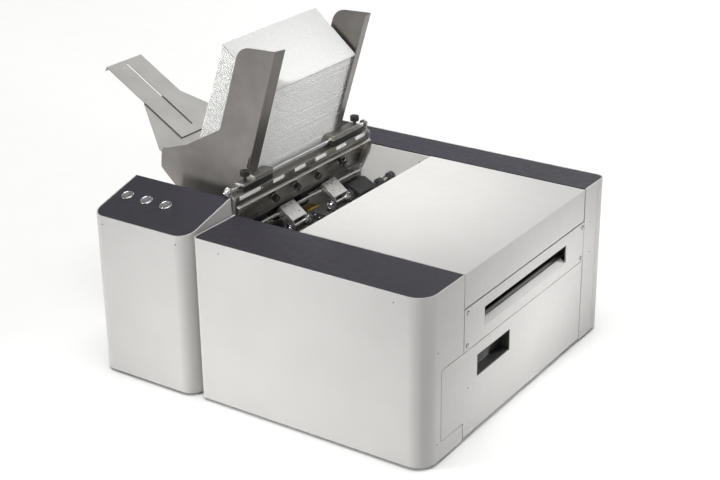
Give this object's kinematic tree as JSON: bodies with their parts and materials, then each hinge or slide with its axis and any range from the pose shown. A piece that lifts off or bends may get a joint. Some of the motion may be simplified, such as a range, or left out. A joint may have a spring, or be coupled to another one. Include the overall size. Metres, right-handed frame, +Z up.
{
  "type": "franking machine",
  "caption": "Tabletop envelope franking and addressing machine with leaning stainless hopper, side control module, hinged lid and side delivery slot.",
  "frame": {"origin": "bottom centre of the bounding box, on the surface the feet stand on", "axes": "+X the way envelopes travel and leave (right-hand side seen from the front), +Y from the front cover to the back panel, +Z up"},
  "size_m": [0.9468, 0.668, 0.6231],
  "materials": {
    "covers": "fine powder coat, warm light grey",
    "slate_plates": "smooth satin slate coat",
    "pull_cup_plastic": "moulded, satin",
    "stainless_sheet": "brushed along the sheet",
    "crossbar_steel": "milled",
    "dark_stainless": "brushed, in shadow",
    "polished_steel": "ground and polished",
    "button_steel": "turned and polished",
    "aluminium_blocks": "bead blasted and anodised",
    "ruler_enamel": "graduated strip",
    "galvanised_pan": "galvanised sheet",
    "black_plastic": "moulded, fine texture",
    "motor_black": "black enamel",
    "roller_rubber": "ground rubber on steel shafts",
    "delivery_rubber": "ground grey rubber",
    "foot_rubber": "moulded",
    "envelope_paper": "uncoated white paper",
    "circuit_board": "solder mask"
  },
  "bodies": {
    "machine": {"front_cover": "covers", "rear_cover": "covers", "back_panel": "covers", "output_panel": "covers", "module_shell": "covers", "front_frame": "covers", "rear_frame": "covers", "front_top_plate": "slate_plates", "rear_top_plate": "slate_plates", "control_panel": "slate_plates", "hopper_floor": "stainless_sheet", "transport_deck": "stainless_sheet", "crossbar": "crossbar_steel", "gate_plate": "dark_stainless", "guide_rod": "polished_steel", "pinch_pivot_shaft": "polished_steel", "lid_hinge_pin": "polished_steel", "door_hinge_pin": "polished_steel", "button_carrier": "button_steel", "ruler_strip": "ruler_enamel", "base_pan": "galvanised_pan", "power_supply": "galvanised_pan", "power_inlet": "black_plastic", "print_head": "black_plastic", "ink_tank_rack": "black_plastic", "feed_motor": "motor_black", "foot_front_left": "foot_rubber", "foot_front_right": "foot_rubber", "foot_rear_left": "foot_rubber", "foot_rear_right": "foot_rubber", "control_board": "circuit_board"},
    "lid": {"lid": "covers"},
    "side_door": {"side_door": "covers", "door_pull_cup": "pull_cup_plastic"},
    "power_rocker": {"power_rocker": "black_plastic"},
    "stop_button": {"stop_button": "button_steel"},
    "feed_button": {"feed_button": "button_steel"},
    "start_button": {"start_button": "button_steel"},
    "transport_roller": {"transport_roller": "roller_rubber"},
    "feed_roller": {"feed_roller": "roller_rubber"},
    "exit_roller": {"exit_roller": "delivery_rubber"},
    "near_pinch_bracket": {"near_pinch_bracket": "aluminium_blocks"},
    "near_pinch_rollers": {"near_pinch_rollers": "roller_rubber"},
    "far_pinch_bracket": {"far_pinch_bracket": "aluminium_blocks"},
    "far_pinch_rollers": {"far_pinch_rollers": "roller_rubber"},
    "near_guide": {"near_carrier": "aluminium_blocks", "near_side_guide": "stainless_sheet"},
    "near_clamp_knob": {"near_clamp_knob": "black_plastic"},
    "far_guide": {"far_carrier": "aluminium_blocks", "far_side_guide": "stainless_sheet"},
    "far_clamp_knob": {"far_clamp_knob": "black_plastic"},
    "support_tray": {"support_tray": "stainless_sheet"},
    "envelope_stack": {"envelope_stack": "envelope_paper"},
    "separator_1": {"separator_1": "crossbar_steel"},
    "separator_2": {"separator_2": "crossbar_steel"},
    "separator_3": {"separator_3": "crossbar_steel"},
    "separator_knob_1": {"separator_knob_1": "black_plastic"},
    "separator_knob_2": {"separator_knob_2": "black_plastic"},
    "separator_knob_3": {"separator_knob_3": "black_plastic"},
    "star_knob": {"star_knob": "black_plastic"}
  },
  "joints": [
    {"name": "lid_hinge", "type": "hinge", "parent": "machine", "child": "lid", "pos_m": [0.30336, 0.243, 0.32], "axis": [-1, 0, 0], "range_deg": [0, 75]},
    {"name": "door_hinge", "type": "hinge", "parent": "machine", "child": "side_door", "pos_m": [0.46786, 0.244, 0.096], "axis": [0, 0, 1], "range_deg": [0, 100]},
    {"name": "power_switch", "type": "hinge", "parent": "machine", "child": "power_rocker", "pos_m": [0.33336, 0.325, 0.061], "axis": [1, 0, 0], "range_deg": [0, 14]},
    {"name": "stop_button_press", "type": "slide", "parent": "machine", "child": "stop_button", "axis": [0, 0.26, -0.9656], "range_m": [0, 0.002], "stiffness_N_per_m": 400, "springref_m": -0.002},
    {"name": "feed_button_press", "type": "slide", "parent": "machine", "child": "feed_button", "axis": [0, 0.26, -0.9656], "range_m": [0, 0.002], "stiffness_N_per_m": 400, "springref_m": -0.002},
    {"name": "start_button_press", "type": "slide", "parent": "machine", "child": "start_button", "axis": [0, 0.26, -0.9656], "range_m": [0, 0.002], "stiffness_N_per_m": 400, "springref_m": -0.002},
    {"name": "feed_spin", "type": "hinge", "parent": "machine", "child": "feed_roller", "pos_m": [-0.07564, 0.023, 0.253], "axis": [0, 1, 0], "continuous": true},
    {"name": "transport_spin", "type": "hinge", "parent": "machine", "child": "transport_roller", "pos_m": [-0.00964, 0.023, 0.2185], "axis": [0, 1, 0], "continuous": true},
    {"name": "exit_spin", "type": "hinge", "parent": "machine", "child": "exit_roller", "pos_m": [0.45386, 0.023, 0.2015], "axis": [0, 1, 0], "continuous": true},
    {"name": "near_pinch_lift", "type": "hinge", "parent": "machine", "child": "near_pinch_bracket", "pos_m": [-0.03964, -0.011, 0.263], "axis": [0, -1, 0], "range_deg": [0, 12], "stiffness_Nm_per_rad": 0.5, "springref_deg": -17.19},
    {"name": "near_pinch_spin", "type": "hinge", "parent": "near_pinch_bracket", "child": "near_pinch_rollers", "pos_m": [-0.00964, -0.011, 0.2408], "axis": [0, 1, 0], "continuous": true},
    {"name": "far_pinch_lift", "type": "hinge", "parent": "machine", "child": "far_pinch_bracket", "pos_m": [-0.03964, 0.13, 0.263], "axis": [0, -1, 0], "range_deg": [0, 12], "stiffness_Nm_per_rad": 0.5, "springref_deg": -17.19},
    {"name": "far_pinch_spin", "type": "hinge", "parent": "far_pinch_bracket", "child": "far_pinch_rollers", "pos_m": [-0.00964, 0.13, 0.2408], "axis": [0, 1, 0], "continuous": true},
    {"name": "near_guide_slide", "type": "slide", "parent": "machine", "child": "near_guide", "axis": [0, -1, 0], "range_m": [0, 0.026]},
    {"name": "near_clamp_turn", "type": "hinge", "parent": "near_guide", "child": "near_clamp_knob", "pos_m": [-0.02564, -0.153, 0.386], "axis": [0, 0, 1], "range_deg": [0, 270]},
    {"name": "far_guide_slide", "type": "slide", "parent": "machine", "child": "far_guide", "axis": [0, 1, 0], "range_m": [0, 0.02]},
    {"name": "far_clamp_turn", "type": "hinge", "parent": "far_guide", "child": "far_clamp_knob", "pos_m": [-0.02564, 0.209, 0.386], "axis": [0, 0, 1], "range_deg": [0, 270]},
    {"name": "tray_slide", "type": "slide", "parent": "machine", "child": "support_tray", "axis": [-0.8554, 0, 0.518], "range_m": [0, 0.05]},
    {"name": "stack_lift", "type": "slide", "parent": "machine", "child": "envelope_stack", "axis": [0.2924, 0, 0.9563], "range_m": [0, 0.36]},
    {"name": "separator_1_slide", "type": "slide", "parent": "machine", "child": "separator_1", "axis": [0.3891, 0, 0.9212], "range_m": [0, 0.008]},
    {"name": "separator_1_knob_turn", "type": "hinge", "parent": "separator_1", "child": "separator_knob_1", "pos_m": [-0.02114, -0.065, 0.30825], "axis": [0.9212, 0, -0.3891], "range_deg": [0, 270]},
    {"name": "separator_2_slide", "type": "slide", "parent": "machine", "child": "separator_2", "axis": [0.3891, 0, 0.9212], "range_m": [0, 0.008]},
    {"name": "separator_2_knob_turn", "type": "hinge", "parent": "separator_2", "child": "separator_knob_2", "pos_m": [-0.02114, 0.004, 0.30825], "axis": [0.9212, 0, -0.3891], "range_deg": [0, 270]},
    {"name": "separator_3_slide", "type": "slide", "parent": "machine", "child": "separator_3", "axis": [0.3891, 0, 0.9212], "range_m": [0, 0.008]},
    {"name": "separator_3_knob_turn", "type": "hinge", "parent": "separator_3", "child": "separator_knob_3", "pos_m": [-0.02114, 0.073, 0.30825], "axis": [0.9212, 0, -0.3891], "range_deg": [0, 270]},
    {"name": "star_knob_turn", "type": "hinge", "parent": "machine", "child": "star_knob", "pos_m": [-0.01958, 0.155, 0.31194], "axis": [0.9212, 0, -0.3891], "range_deg": [0, 270]}
  ],
  "couplings": [
    {"joint": "transport_spin", "follows": "exit_spin", "ratio": 0.7},
    {"joint": "near_pinch_spin", "follows": "exit_spin", "ratio": -0.58333},
    {"joint": "far_pinch_spin", "follows": "exit_spin", "ratio": -0.58333}
  ]
}
